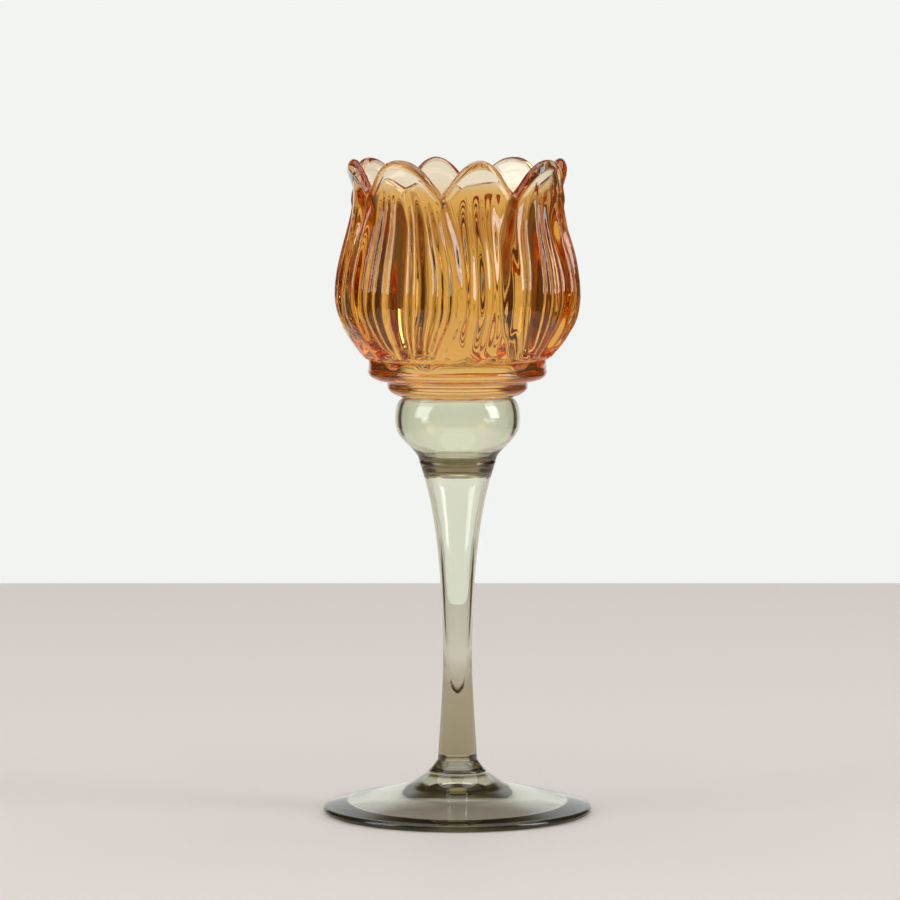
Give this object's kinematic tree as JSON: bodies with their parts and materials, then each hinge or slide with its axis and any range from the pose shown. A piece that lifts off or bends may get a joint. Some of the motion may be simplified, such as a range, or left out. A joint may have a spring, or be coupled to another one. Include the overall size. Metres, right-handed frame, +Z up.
{
  "type": "tealight holder",
  "caption": "Tealight holder: pressed amber glass tulip cup with overlapping petals, on a hand-blown smoke-olive glass stem with a hollow knop and a wide shallow foot",
  "frame": {"origin": "centre of the foot's standing face, on the table", "axes": "+Z up along the axis of the stem; -Y is the side seen from the front"},
  "size_m": [0.0822, 0.0822, 0.2],
  "materials": {
    "amber_glass": "fire-polished pressed glass, amber",
    "smoke_glass_stem": "fire-polished blown glass, pale smoke-olive",
    "smoke_glass_foot": "fire-polished solid glass, smoke-olive, dark at the edge",
    "clear_bond": "clear cured adhesive film"
  },
  "bodies": {
    "root": {"foot": "smoke_glass_foot", "collar": "smoke_glass_foot", "stem": "smoke_glass_stem", "knop": "smoke_glass_stem", "cup_bond": "clear_bond", "tulip_cup": "amber_glass"}
  },
  "joints": []
}
